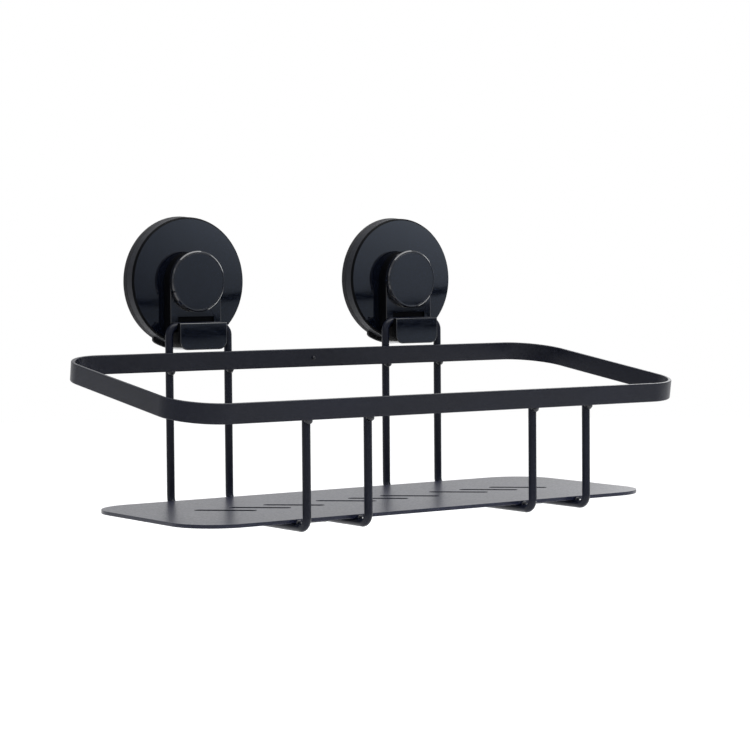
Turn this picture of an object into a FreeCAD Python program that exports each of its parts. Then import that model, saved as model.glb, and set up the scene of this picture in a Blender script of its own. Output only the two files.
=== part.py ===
import FreeCAD, Part
import math
import os
import Sketcher

# A wall-hung shower caddy. A flat-bar rim and a slotted shelf are welded to two bent-wire frames, and
# each wire frame hangs in the hook of a screw-down suction cup.
#
# Frame: X to the right, +Y into the wall, +Z up. The origin lies on the wall, midway between the two
# cup centres. Lengths are in millimetres and angles in degrees.

DIMENSIONS = [
    ("cup_spacing", 133.0),
    # rim: a flat bar bent on its side into a loop, lower in front than behind
    ("rim_width", 300.0),
    ("rim_depth", 127.0),
    ("rim_bar_height", 9.5),
    ("rim_bar_thickness", 1.9),
    ("rim_corner_radius", 24.0),
    ("rim_fall_angle", 8.3),
    ("rim_drop", 35.4),
    # wire frames
    ("wire_radius", 2.0),
    ("wire_leg_gap", 34.4),
    ("wire_plane", 17.75),
    ("wire_run_drop", 22.4),
    ("wire_top_bend", 5.0),
    ("wire_foot_bend", 5.0),
    ("front_leg_rise", 6.5),
    ("crossbar_radius", 2.0),
    ("crossbar_setback", 34.0),
    # shelf
    ("shelf_width", 274.0),
    ("shelf_depth", 109.0),
    ("shelf_thickness", 1.8),
    ("shelf_corner_radius", 24.0),
    ("shelf_drop", 109.3),
    ("slot_length", 30.5),
    ("slot_width", 5.0),
    ("slot_angle", 42.0),
    ("slot_pitch", 19.5),
    ("slot_group_pitch", 70.0),
    # suction pad
    ("pad_radius", 33.2),
    ("pad_edge_thickness", 2.6),
    ("pad_membrane", 2.0),
    ("pad_bead_width", 4.6),
    ("pad_centre_radius", 12.0),
    ("pad_centre_thickness", 3.2),
    ("pad_cut", 0.3),
    ("tab_radius", 35.0),
    ("tab_width", 36.0),
    ("tab_thickness", 2.4),
    # threaded stud
    ("stud_radius", 3.0),
    ("stud_end", 14.6),
    ("stud_plate_radius", 8.0),
    ("stud_plate_thickness", 1.2),
    ("stud_plate_depth", 1.0),
    # cover disc
    ("cover_radius", 32.6),
    ("cover_edge_front", 8.9),
    ("cover_crown", 0.4),
    ("cover_edge_round", 0.8),
    ("cover_wall", 2.0),
    ("stud_clearance", 0.35),
    # hook bracket
    ("bracket_front", 15.4),
    ("bracket_half_width", 14.9),
    ("hook_half_width", 13.7),
    ("hook_gap", 0.35),
    ("groove_floor_gap", 0.6),
    ("lip_thickness", 2.8),
    ("lip_top_drop", 20.8),
    ("hook_bottom_drop", 34.4),
    ("hook_corner_round", 4.5),
    ("lip_edge_round", 0.7),
    ("hook_under_round", 1.4),
    ("recess_half_width", 10.5),
    ("recess_top_drop", 17.7),
    ("recess_depth", 1.0),
    ("counterbore_radius", 8.1),
    ("counterbore_floor", 11.0),
    # knob
    ("knob_radius", 15.4),
    ("knob_back", 15.7),
    ("knob_front", 18.7),
    ("knob_bevel", 0.6),
    ("hub_radius", 7.6),
    ("hub_back", 11.3),
    ("nut_across_corners", 10.4),
    ("nut_back", 12.0),
    ("nut_front", 17.0),
    ("nut_running_gap", 0.06),
    ("cap_radius", 14.2),
    ("cap_thickness", 1.0),
    # welds
    ("rim_bead_radius", 2.5),
    ("shelf_bead_radius", 1.7),
    ("seam_bead_radius", 1.1),
]

document = FreeCAD.newDocument("shower_caddy")
sheet = document.addObject("Spreadsheet::Sheet", "Sizes")
for row, (alias, number) in enumerate(DIMENSIONS, start=1):
    sheet.set(f"A{row}", alias)
    sheet.set(f"B{row}", str(number))
    sheet.setAlias(f"B{row}", alias)
document.recompute()


class Size:
    """A dimension that carries its value and the sheet expression that gives it."""

    def __init__(self, value, text):
        self.value = value
        self.text = text

    def __add__(self, other):
        other = as_size(other)
        return Size(self.value + other.value, f"({self.text} + {other.text})")

    def __sub__(self, other):
        other = as_size(other)
        return Size(self.value - other.value, f"({self.text} - {other.text})")

    def __rsub__(self, other):
        return as_size(other) - self

    def __mul__(self, other):
        other = as_size(other)
        return Size(self.value * other.value, f"({self.text} * {other.text})")

    def __truediv__(self, other):
        other = as_size(other)
        return Size(self.value / other.value, f"({self.text} / {other.text})")

    def __neg__(self):
        return Size(-self.value, f"(-{self.text})")


def as_size(number):
    if isinstance(number, Size):
        return number
    return Size(float(number), repr(float(number)))


def size(alias):
    return Size(float(sheet.get(alias)), f"Sizes.{alias}")


def sine(angle):
    return Size(math.sin(math.radians(angle.value)), f"sin({angle.text} * 1 deg)")


def cosine(angle):
    return Size(math.cos(math.radians(angle.value)), f"cos({angle.text} * 1 deg)")


def bind(item, name, length):
    """Ties one property, or one named sketch constraint, to the sheet."""
    item.setExpression(name, length.text)


def vector(x, y, z):
    return FreeCAD.Vector(as_size(x).value, as_size(y).value, as_size(z).value)


NO_TURN = FreeCAD.Rotation()
X_AXIS = FreeCAD.Vector(1, 0, 0)
Y_AXIS = FreeCAD.Vector(0, 1, 0)
Z_AXIS = FreeCAD.Vector(0, 0, 1)
# a cylinder's own axis is Z: this turns it to run along -Y, out of the wall
OUT_OF_WALL = FreeCAD.Rotation(X_AXIS, 90)
ALONG_X = FreeCAD.Rotation(Y_AXIS, 90)

# Planes that several sub-parts share.
HALF_SPACING = size("cup_spacing") / 2
SIDES = {"left": -HALF_SPACING, "right": HALF_SPACING}
WIRE_Y = -size("wire_plane")
RUN_Z = -size("wire_run_drop")
LEG_X = size("wire_leg_gap") / 2
FALL = size("rim_fall_angle")
SHELF_UNDER_Z = -(size("shelf_drop") + size("shelf_thickness"))
FOOT_Z = SHELF_UNDER_Z - size("wire_radius")
# the rim leans, so its bar touches the upright wires with its lower edges only
BAR_LEAN = size("rim_bar_height") * sine(FALL)
BAR_DROP = size("rim_bar_height") * cosine(FALL)
RIM_REAR_Y = WIRE_Y - size("wire_radius") - BAR_LEAN
RIM_REAR_Z = -size("rim_drop")
RIM_FRONT_Y = RIM_REAR_Y - size("rim_depth") * cosine(FALL)
RIM_FRONT_Z = RIM_REAR_Z - size("rim_depth") * sine(FALL)
FRONT_INNER_EDGE_Y = RIM_FRONT_Y + size("rim_bar_thickness") * cosine(FALL) + BAR_LEAN
FRONT_INNER_EDGE_Z = RIM_FRONT_Z - BAR_DROP
FRONT_LEG_Y = FRONT_INNER_EDGE_Y + size("wire_radius")
FRONT_LEG_TOP_Z = FRONT_INNER_EDGE_Z + size("front_leg_rise")
FRAME_MIDDLE_Y = (WIRE_Y + FRONT_LEG_Y) / 2
CROSSBAR_Y = FRONT_LEG_Y + size("crossbar_setback")


# --- Part primitives -----------------------------------------------------------------------------

def cylinder(name, radius, length, start, turn=NO_TURN):
    item = document.addObject("Part::Cylinder", name)
    bind(item, "Radius", radius)
    bind(item, "Height", length)
    item.Placement = FreeCAD.Placement(start, turn)
    return item


def bend(name, bend_radius, wire_radius, centre, turn):
    """A quarter turn of round wire: it starts on the bend's own X axis and ends on its Y axis."""
    item = document.addObject("Part::Torus", name)
    bind(item, "Radius1", bend_radius)
    bind(item, "Radius2", wire_radius)
    item.Angle3 = 90
    item.Placement = FreeCAD.Placement(centre, turn)
    return item


def box(name, low, lengths):
    item = document.addObject("Part::Box", name)
    for property_name, length in zip(("Length", "Width", "Height"), lengths):
        bind(item, property_name, as_size(length))
    item.Placement = FreeCAD.Placement(low, NO_TURN)
    return item


def sphere(name, radius, centre):
    item = document.addObject("Part::Sphere", name)
    bind(item, "Radius", radius)
    item.Placement = FreeCAD.Placement(centre, NO_TURN)
    return item


def fuse(name, items):
    item = document.addObject("Part::MultiFuse", name)
    item.Shapes = items
    item.Refine = True
    return item


def cut(name, base, tool):
    item = document.addObject("Part::Cut", name)
    item.Base = base
    item.Tool = tool
    return item


def common(name, items):
    item = document.addObject("Part::MultiCommon", name)
    item.Shapes = items
    return item


# --- PartDesign helpers --------------------------------------------------------------------------

def new_body(name):
    return document.addObject("PartDesign::Body", name)


def origin_plane(body, role):
    return next(item for item in body.Origin.OriginFeatures if item.Role == role)


def new_sketch(body, name, role, offset=None):
    sketch = body.newObject("Sketcher::SketchObject", name)
    sketch.AttachmentSupport = [(origin_plane(body, role), "")]
    sketch.MapMode = "FlatFace"
    if offset is not None:
        sketch.AttachmentOffset = offset
    return sketch


def draw_outline(sketch, corners):
    """Draws a closed run of straight lines, with each corner tied to the sheet."""
    points = [FreeCAD.Vector(as_size(u).value, as_size(v).value, 0) for u, v in corners]
    count = len(points)
    for index in range(count):
        sketch.addGeometry(Part.LineSegment(points[index], points[(index + 1) % count]), False)
    for index in range(count):
        following = (index + 1) % count
        sketch.addConstraint(Sketcher.Constraint("Coincident", index, 2, following, 1))
    for index, (u, v) in enumerate(corners):
        tie_point(sketch, index, 1, u, v)


def tie_point(sketch, geometry, point, u, v):
    """Holds a point at (u, v) from the sketch's origin. A zero lies on the axis itself."""
    for kind, axis, coordinate in (("DistanceX", -2, as_size(u)), ("DistanceY", -1, as_size(v))):
        if coordinate.value == 0:
            sketch.addConstraint(Sketcher.Constraint("PointOnObject", geometry, point, axis))
            continue
        constraint = Sketcher.Constraint(kind, -1, 1, geometry, point, coordinate.value)
        index = sketch.addConstraint(constraint)
        name = f"{kind}_{geometry}"
        sketch.renameConstraint(index, name)
        bind(sketch, f"Constraints.{name}", coordinate)


def rectangle(u_low, u_high, v_low, v_high):
    return [(u_low, v_low), (u_high, v_low), (u_high, v_high), (u_low, v_high)]


def pad(body, name, sketch, length, backwards=False, both_ways=False):
    feature = body.newObject("PartDesign::Pad", name)
    feature.Profile = sketch
    bind(feature, "Length", length)
    feature.Reversed = backwards
    feature.Midplane = both_ways
    return feature


def through_pocket(body, name, sketch):
    """Cuts right through, both ways from the sketch."""
    feature = body.newObject("PartDesign::Pocket", name)
    feature.Profile = sketch
    feature.Type = "ThroughAll"
    feature.Midplane = True
    return feature


def round_edges(body, name, base, radius, chosen):
    """Rounds the edges of base that the test picks."""
    document.recompute()
    names = [f"Edge{number}" for number, edge in enumerate(base.Shape.Edges, start=1) if chosen(edge)]
    feature = body.newObject("PartDesign::Fillet", name)
    feature.Base = (base, names)
    bind(feature, "Radius", radius)
    return feature


def runs_along(edge, direction):
    """True for a straight edge that runs along the direction."""
    if len(edge.Vertexes) != 2:
        return False
    span = edge.Vertexes[1].Point - edge.Vertexes[0].Point
    return abs(span.Length - edge.Length) < 1e-6 and abs(abs(span.dot(direction)) - span.Length) < 1e-6


def near(first, second):
    return abs(first - as_size(second).value) < 1e-4


def turned_body(name, outline):
    """A solid of revolution about the Y axis. Each corner is a radius and a place along Y."""
    body = new_body(name)
    sketch = new_sketch(body, f"{name}_profile", "XY_Plane")
    draw_outline(sketch, outline)
    turn = body.newObject("PartDesign::Revolution", f"{name}_turn")
    turn.Profile = sketch
    turn.ReferenceAxis = (sketch, ["V_Axis"])
    turn.Angle = 360
    return body


# --- basket --------------------------------------------------------------------------------------

def rounded_block(name, outline, height, radius):
    """A flat block hanging below its own XY plane, with its four upright edges rounded."""
    body = new_body(name)
    plan = new_sketch(body, f"{name}_plan", "XY_Plane")
    draw_outline(plan, outline)
    block = pad(body, f"{name}_block", plan, height, backwards=True)
    round_edges(body, f"{name}_corners", block, radius, lambda edge: runs_along(edge, Z_AXIS))
    return body


def make_rim_bar():
    """The rim's loop. Its own origin is the middle of the rear bar's upper outer edge."""
    half_width = size("rim_width") / 2
    depth = size("rim_depth")
    thickness = size("rim_bar_thickness")
    radius = size("rim_corner_radius")
    outside = rounded_block("rim_outside", rectangle(-half_width, half_width, -depth, 0),
                            size("rim_bar_height"), radius)
    inside = rounded_block("rim_inside", rectangle(thickness - half_width, half_width - thickness,
                                                   thickness - depth, -thickness),
                           size("rim_bar_height"), radius - thickness)
    loop = cut("rim_bar", outside, inside)
    loop.Placement = FreeCAD.Placement(vector(0, RIM_REAR_Y, RIM_REAR_Z),
                                       FreeCAD.Rotation(X_AXIS, FALL.value))
    return loop


def make_shelf_plate():
    """The shelf, with three groups of three slanting drain slots."""
    half_width = size("shelf_width") / 2
    half_depth = size("shelf_depth") / 2
    body = rounded_block("shelf_plate", rectangle(-half_width, half_width, -half_depth, half_depth),
                         size("shelf_thickness"), size("shelf_corner_radius"))
    slant = FreeCAD.Rotation(Z_AXIS, -size("slot_angle").value)
    slot = new_sketch(body, "slot_outline", "XY_Plane", FreeCAD.Placement(FreeCAD.Vector(), slant))
    draw_slot(slot, size("slot_length"), size("slot_width"))
    through_pocket(body, "slot_cut", slot)
    document.recompute()
    repeat_slots(body)
    body.Placement = FreeCAD.Placement(vector(0, FRAME_MIDDLE_Y, -size("shelf_drop")), NO_TURN)
    return body


def draw_slot(sketch, length, width):
    """A slot with round ends, lying along the sketch's X axis about its origin."""
    radius = width.value / 2
    reach = length.value / 2 - radius
    right = FreeCAD.Vector(reach, 0, 0)
    left = FreeCAD.Vector(-reach, 0, 0)
    up = FreeCAD.Vector(0, radius, 0)
    quarter = math.pi / 2
    sketch.addGeometry(Part.LineSegment(left - up, right - up), False)
    sketch.addGeometry(Part.ArcOfCircle(Part.Circle(right, Z_AXIS, radius), -quarter, quarter), False)
    sketch.addGeometry(Part.LineSegment(right + up, left + up), False)
    sketch.addGeometry(Part.ArcOfCircle(Part.Circle(left, Z_AXIS, radius), quarter, 3 * quarter), False)
    for line, arc, line_end, arc_end in ((0, 1, 2, 1), (2, 1, 1, 2), (2, 3, 2, 1), (0, 3, 1, 2)):
        sketch.addConstraint(Sketcher.Constraint("Tangent", line, line_end, arc, arc_end))
    sketch.addConstraint(Sketcher.Constraint("Equal", 1, 3))
    for arc, side in ((1, 1), (3, -1)):
        sketch.addConstraint(Sketcher.Constraint("PointOnObject", arc, 3, -1))
        index = sketch.addConstraint(Sketcher.Constraint("DistanceX", -1, 1, arc, 3, side * reach))
        sketch.renameConstraint(index, f"reach_{arc}")
        bind(sketch, f"Constraints.reach_{arc}", (length - width) / 2 * side)
    index = sketch.addConstraint(Sketcher.Constraint("Radius", 1, radius))
    sketch.renameConstraint(index, "end_radius")
    bind(sketch, "Constraints.end_radius", width / 2)


def repeat_slots(body):
    """Repeats the one slot into a group, and the group across the shelf, both about the middle."""
    x_axis = origin_plane(body, "X_Axis")
    rows = [("slots", size("slot_pitch")), ("slot_groups", size("slot_group_pitch"))]
    transformations = []
    for name, pitch in rows:
        for suffix, reverse in (("right", False), ("left", True)):
            pattern = body.newObject("PartDesign::LinearPattern", f"{name}_{suffix}")
            pattern.Direction = (x_axis, [""])
            pattern.Reversed = reverse
            pattern.Occurrences = 2
            bind(pattern, "Length", pitch)
            transformations.append(pattern)
    repeat = body.newObject("PartDesign::MultiTransform", "slot_repeat")
    repeat.Originals = [document.getObject("slot_cut")]
    repeat.Transformations = transformations
    body.Tip = repeat


def make_wire_frame(side, middle_x):
    """One continuous bent wire: over the hook, down behind the rim, under the shelf, up in front."""
    radius = size("wire_radius")
    top_bend = size("wire_top_bend")
    foot_bend = size("wire_foot_bend")
    run_half = LEG_X - top_bend
    pieces = [cylinder(f"{side}_top_run", radius, run_half * 2,
                       vector(middle_x - run_half, WIRE_Y, RUN_Z), ALONG_X)]
    for sign, name in ((-1, "a"), (1, "b")):
        leg_x = middle_x + LEG_X * sign
        # quarter bend from the top run down into the rear leg
        turn = FreeCAD.Rotation(X_AXIS, 90)
        if sign < 0:
            turn = FreeCAD.Rotation(Z_AXIS, 180) * turn
        pieces.append(bend(f"{side}_top_bend_{name}", top_bend, radius,
                           vector(middle_x + run_half * sign, WIRE_Y, RUN_Z - top_bend), turn))
        rear_bottom = FOOT_Z + foot_bend
        pieces.append(cylinder(f"{side}_rear_leg_{name}", radius, RUN_Z - top_bend - rear_bottom,
                               vector(leg_x, WIRE_Y, rear_bottom)))
        # the two foot bends lie in the upright plane of the leg
        rear_turn = FreeCAD.Rotation(FreeCAD.Vector(0, 1, 0), FreeCAD.Vector(0, 0, -1),
                                     FreeCAD.Vector(-1, 0, 0), "XYZ")
        front_turn = FreeCAD.Rotation(FreeCAD.Vector(0, -1, 0), FreeCAD.Vector(0, 0, -1),
                                      FreeCAD.Vector(1, 0, 0), "XYZ")
        pieces.append(bend(f"{side}_rear_foot_{name}", foot_bend, radius,
                           vector(leg_x, WIRE_Y - foot_bend, rear_bottom), rear_turn))
        pieces.append(bend(f"{side}_front_foot_{name}", foot_bend, radius,
                           vector(leg_x, FRONT_LEG_Y + foot_bend, rear_bottom), front_turn))
        pieces.append(cylinder(f"{side}_foot_run_{name}", radius,
                               WIRE_Y - FRONT_LEG_Y - foot_bend * 2,
                               vector(leg_x, WIRE_Y - foot_bend, FOOT_Z), OUT_OF_WALL))
        pieces.append(cylinder(f"{side}_front_leg_{name}", radius, FRONT_LEG_TOP_Z - rear_bottom,
                               vector(leg_x, FRONT_LEG_Y, rear_bottom)))
    return fuse(f"{side}_wire_frame", pieces)


def make_crossbar(side, middle_x):
    """A short round bar between the two foot runs of one wire frame."""
    half = LEG_X - size("wire_radius")
    return cylinder(f"{side}_crossbar", size("crossbar_radius"), half * 2,
                    vector(middle_x - half, CROSSBAR_Y, FOOT_Z), ALONG_X)


def leg_places():
    """The X of every leg, in order across the basket."""
    return [middle_x + LEG_X * sign for middle_x in SIDES.values() for sign in (-1, 1)]


def make_weld_beads(name, beads, neighbours):
    """Beads of weld, as (radius, centre) pairs, trimmed to the faces of the pieces that they join."""
    trimmed = fuse(f"{name}_full", [sphere(f"{name}_{number}", radius, centre)
                                    for number, (radius, centre) in enumerate(beads)])
    for number, neighbour in enumerate(neighbours[:-1]):
        trimmed = cut(f"{name}_trim_{number}", trimmed, neighbour)
    return cut(name, trimmed, neighbours[-1])


def make_rim_welds(rim_bar, wire_frames):
    """One bead at each leg, on the lower edge of the rim's bar."""
    radius = size("rim_bead_radius")
    rear_edge_y = WIRE_Y - size("wire_radius")
    rear_edge_z = RIM_REAR_Z - BAR_DROP
    beads = []
    for leg_x in leg_places():
        beads.append((radius, vector(leg_x, rear_edge_y, rear_edge_z)))
        beads.append((radius, vector(leg_x, FRONT_INNER_EDGE_Y, FRONT_INNER_EDGE_Z)))
    return make_weld_beads("rim_weld_beads", beads, [rim_bar] + wire_frames)


def make_shelf_welds(wire_frames):
    """Beads on top of the foot runs, against the shelf's front and rear edges."""
    radius = size("shelf_bead_radius")
    half_depth = size("shelf_depth") / 2
    half_width = size("shelf_width") / 2
    beads = [(radius, vector(leg_x, edge_y, SHELF_UNDER_Z)) for leg_x in leg_places()
             for edge_y in (FRAME_MIDDLE_Y - half_depth, FRAME_MIDDLE_Y + half_depth)]
    # the beads stop in line with the shelf's edges, above and below its underside
    behind_edges = box("behind_shelf_edges",
                       vector(half_width * -1, FRAME_MIDDLE_Y - half_depth,
                              SHELF_UNDER_Z - radius * 2),
                       (half_width * 2, half_depth * 2, radius * 4))
    return make_weld_beads("shelf_weld_beads", beads, [behind_edges] + wire_frames)


def make_rim_seam_weld(rim_bar):
    """The small bead that closes the rim's loop, on the inner face of the rear bar."""
    thickness = size("rim_bar_thickness")
    centre = vector(0, RIM_REAR_Y - thickness * cosine(FALL) + BAR_LEAN / 2,
                    RIM_REAR_Z - BAR_DROP / 2 - thickness * sine(FALL))
    bead = sphere("rim_seam_bead", size("seam_bead_radius"), centre)
    return cut("rim_seam_weld", bead, rim_bar)


# --- suction cup ---------------------------------------------------------------------------------

def make_suction_pad(side):
    """The pad's outer ring: a flat sealing face, a thin membrane, a thick edge and a pull tab."""
    inner = size("pad_centre_radius") + size("pad_cut")
    outer = size("pad_radius")
    edge = -size("pad_edge_thickness")
    membrane = -size("pad_membrane")
    front_radius = size("cover_radius")
    bead_inner = front_radius - size("pad_bead_width")
    ring = turned_body(f"{side}_pad_ring", [
        (inner, 0), (outer, 0), (front_radius, edge), (bead_inner, edge),
        (bead_inner - size("pad_edge_thickness") + size("pad_membrane"), membrane), (inner, membrane)])
    half_tab = size("tab_width") / 2
    start = (size("pad_edge_thickness") - size("tab_thickness")) / 2
    disc = cylinder(f"{side}_tab_disc", size("tab_radius"), size("tab_thickness"),
                    vector(0, -start, 0), OUT_OF_WALL)
    core = cylinder(f"{side}_tab_core", front_radius - 1, size("tab_thickness"),
                    vector(0, -start, 0), OUT_OF_WALL)
    window = box(f"{side}_tab_window", vector(-half_tab, -size("pad_edge_thickness"), -size("tab_radius")),
                 (half_tab * 2, size("pad_edge_thickness"), size("tab_radius")))
    tab = common(f"{side}_tab", [cut(f"{side}_tab_band", disc, core), window])
    return fuse(f"{side}_suction_pad", [ring, tab])


def make_stud(name):
    """The threaded stud, with the round plate that is moulded into the pad's centre."""
    plate_back = size("stud_plate_depth")
    plate_front = plate_back + size("stud_plate_thickness")
    plate = cylinder(f"{name}_plate", size("stud_plate_radius"), size("stud_plate_thickness"),
                     vector(0, -plate_back, 0), OUT_OF_WALL)
    shank = cylinder(f"{name}_shank", size("stud_radius"), size("stud_end") - plate_front,
                     vector(0, -plate_front, 0), OUT_OF_WALL)
    return fuse(name, [plate, shank])


def make_pad_centre(side, stud_space):
    """The pad's centre, which the stud draws away from the wall."""
    blank = cylinder(f"{side}_pad_centre_blank", size("pad_centre_radius"),
                     size("pad_centre_thickness"), vector(0, 0, 0), OUT_OF_WALL)
    return cut(f"{side}_pad_centre", blank, stud_space)


def make_cover_disc(side):
    """The hollow cover: its rim presses on the pad's edge, and its face is slightly crowned."""
    bore = size("stud_radius") + size("stud_clearance")
    outer = size("cover_radius")
    back = -size("pad_edge_thickness")
    edge_front = -size("cover_edge_front")
    edge_round = size("cover_edge_round")
    wall = size("cover_wall")
    inside = edge_front + wall
    return turned_body(f"{side}_cover_disc", [
        (outer, back), (outer, edge_front + edge_round), (outer - edge_round, edge_front),
        (bore, edge_front - size("cover_crown")), (bore, inside),
        (outer - wall - edge_round, inside), (outer - wall, inside + edge_round),
        (outer - wall, back)])


def make_hook_bracket(side):
    """The bracket: a round-topped housing for the knob, and below it the hook for the wire."""
    body = new_body(f"{side}_hook_bracket")
    back = -(size("cover_edge_front") + size("cover_crown"))
    front = -size("bracket_front")
    hook_x = size("hook_half_width")
    housing_x = size("bracket_half_width")
    groove_floor = RUN_Z - size("wire_radius") - size("groove_floor_gap")
    lip_back = WIRE_Y - size("wire_radius") - size("hook_gap")
    lip_front = lip_back - size("lip_thickness")
    lip_top = -size("lip_top_drop")
    bottom = -size("hook_bottom_drop")
    # the hook's side view, from the housing's back face round under the lip and into the groove
    hook = new_sketch(body, f"{side}_hook_side_view", "YZ_Plane")
    draw_outline(hook, [(back, bottom), (lip_front, bottom), (lip_front, lip_top), (lip_back, lip_top),
                        (lip_back, groove_floor), (front, groove_floor), (back, groove_floor)])
    hook_solid = pad(body, f"{side}_hook", hook, hook_x * 2, both_ways=True)
    under = round_edges(body, f"{side}_hook_under_round", hook_solid, size("hook_under_round"),
                        lambda edge: is_hook_edge(edge, lip_front, bottom))
    corners = round_edges(body, f"{side}_hook_corners", under, size("hook_corner_round"),
                          lambda edge: runs_along(edge, Y_AXIS) and near(edge.CenterOfMass.z, bottom))
    round_edges(body, f"{side}_lip_edge", corners, size("lip_edge_round"),
                lambda edge: is_hook_edge(edge, lip_front, lip_top))
    # the housing, up to the groove's rear wall, with a half-round top about the knob's axis
    housing = new_sketch(body, f"{side}_housing_face", "XZ_Plane")
    draw_arch(housing, housing_x, groove_floor)
    housing.AttachmentOffset = FreeCAD.Placement(vector(0, 0, -back), NO_TURN)
    pad(body, f"{side}_housing", housing, back - front)
    # a shallow recess in the housing's front, where the wire's straight run drops in
    recess = new_sketch(body, f"{side}_recess_face", "XZ_Plane")
    draw_outline(recess, rectangle(-size("recess_half_width"), size("recess_half_width"),
                                   groove_floor, -size("recess_top_drop")))
    recess.AttachmentOffset = FreeCAD.Placement(vector(0, 0, -(front + size("recess_depth"))), NO_TURN)
    front_pocket(body, f"{side}_recess", recess, size("recess_depth"))
    bore_pocket(body, f"{side}_counterbore", size("counterbore_radius"), -size("counterbore_floor"))
    bore_pocket(body, f"{side}_stud_bore", size("stud_radius") + size("stud_clearance"), 0)
    return body


def is_hook_edge(edge, y, z):
    middle = edge.CenterOfMass
    return runs_along(edge, X_AXIS) and near(middle.y, y) and near(middle.z, z)


def draw_arch(sketch, radius, floor):
    """A half circle on top of two upright sides."""
    centre = FreeCAD.Vector(0, 0, 0)
    arc = Part.ArcOfCircle(Part.Circle(centre, Z_AXIS, radius.value), 0, math.pi)
    left = FreeCAD.Vector(-radius.value, 0, 0)
    right = FreeCAD.Vector(radius.value, 0, 0)
    drop = FreeCAD.Vector(0, floor.value, 0)
    sketch.addGeometry(arc, False)
    sketch.addGeometry(Part.LineSegment(left, left + drop), False)
    sketch.addGeometry(Part.LineSegment(left + drop, right + drop), False)
    sketch.addGeometry(Part.LineSegment(right + drop, right), False)
    for first, second in ((0, 1), (1, 2), (2, 3)):
        sketch.addConstraint(Sketcher.Constraint("Coincident", first, 2, second, 1))
    sketch.addConstraint(Sketcher.Constraint("Coincident", 3, 2, 0, 1))
    sketch.addConstraint(Sketcher.Constraint("Coincident", 0, 3, -1, 1))
    sketch.addConstraint(Sketcher.Constraint("PointOnObject", 0, 1, -1))
    sketch.addConstraint(Sketcher.Constraint("PointOnObject", 0, 2, -1))
    index = sketch.addConstraint(Sketcher.Constraint("Radius", 0, radius.value))
    sketch.renameConstraint(index, "arch_radius")
    bind(sketch, "Constraints.arch_radius", radius)
    tie_point(sketch, 2, 1, -radius, floor)
    tie_point(sketch, 3, 1, radius, floor)


def bore_pocket(body, name, radius, floor):
    """A round hole from in front of the body back to a floor, given as a place along Y."""
    sketch = new_sketch(body, f"{name}_circle", "XZ_Plane")
    sketch.AttachmentOffset = FreeCAD.Placement(vector(0, 0, -as_size(floor)), NO_TURN)
    sketch.addGeometry(Part.Circle(FreeCAD.Vector(), Z_AXIS, radius.value), False)
    sketch.addConstraint(Sketcher.Constraint("Coincident", 0, 3, -1, 1))
    index = sketch.addConstraint(Sketcher.Constraint("Radius", 0, radius.value))
    sketch.renameConstraint(index, "bore_radius")
    bind(sketch, "Constraints.bore_radius", radius)
    front_pocket(body, name, sketch)


def front_pocket(body, name, sketch, depth=None):
    """Cuts from the sketch towards the front: all the way, or only as far as the depth."""
    document.recompute()
    before = body.Shape.Volume
    pocket = body.newObject("PartDesign::Pocket", name)
    pocket.Profile = sketch
    pocket.Reversed = True
    if depth is None:
        pocket.Type = "ThroughAll"
    else:
        pocket.Type = "Length"
        bind(pocket, "Length", depth)
    document.recompute()
    assert body.Shape.Volume < before, f"{name} cuts nothing"


def make_knob(side, nut_space):
    """The knob: a bevelled disc with a hub behind it, recessed in front for its cap."""
    bore = size("stud_radius") + size("stud_clearance")
    radius = size("knob_radius")
    bevel = size("knob_bevel")
    back = -size("knob_back")
    front = -size("knob_front")
    recess = front + size("cap_thickness")
    blank = turned_body(f"{side}_knob_blank", [
        (bore, -size("hub_back")), (size("hub_radius"), -size("hub_back")),
        (size("hub_radius"), back), (radius, back), (radius, front + bevel),
        (radius - bevel, front), (size("cap_radius"), front), (size("cap_radius"), recess),
        (bore, recess)])
    return cut(f"{side}_knob", blank, nut_space)


def hexagon(name):
    item = document.addObject("Part::Prism", name)
    item.Polygon = 6
    bind(item, "Circumradius", size("nut_across_corners") / 2)
    bind(item, "Height", size("nut_front") - size("nut_back"))
    item.Placement = FreeCAD.Placement(vector(0, -size("nut_back"), 0), OUT_OF_WALL)
    return item


def make_knob_nut(side):
    """The threaded metal insert in the knob. Its bore is plain, at the thread's outer size."""
    bore = cylinder(f"{side}_nut_bore", size("stud_radius") + size("nut_running_gap"),
                    size("nut_front") - size("nut_back"), vector(0, -size("nut_back"), 0), OUT_OF_WALL)
    return cut(f"{side}_knob_nut", hexagon(f"{side}_nut_hexagon"), bore)


def make_knob_cap(side):
    """The flat disc that closes the knob's front."""
    return cylinder(f"{side}_knob_cap", size("cap_radius"), size("cap_thickness"),
                    vector(0, -(size("knob_front") - size("cap_thickness")), 0), OUT_OF_WALL)


def make_suction_cup(side, centre_x):
    """All the pieces of one suction cup, made about the world's origin and then set in place."""
    pieces = [
        make_suction_pad(side),
        make_stud(f"{side}_stud"),
        make_pad_centre(side, make_stud(f"{side}_stud_space")),
        make_cover_disc(side),
        make_hook_bracket(side),
        make_knob(side, hexagon(f"{side}_nut_space")),
        make_knob_nut(side),
        make_knob_cap(side),
    ]
    document.recompute()
    place = FreeCAD.Placement(vector(centre_x, 0, 0), NO_TURN)
    for piece in pieces:
        piece.Placement = place.multiply(piece.Placement)
    return pieces


# --- the whole caddy -----------------------------------------------------------------------------

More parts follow.
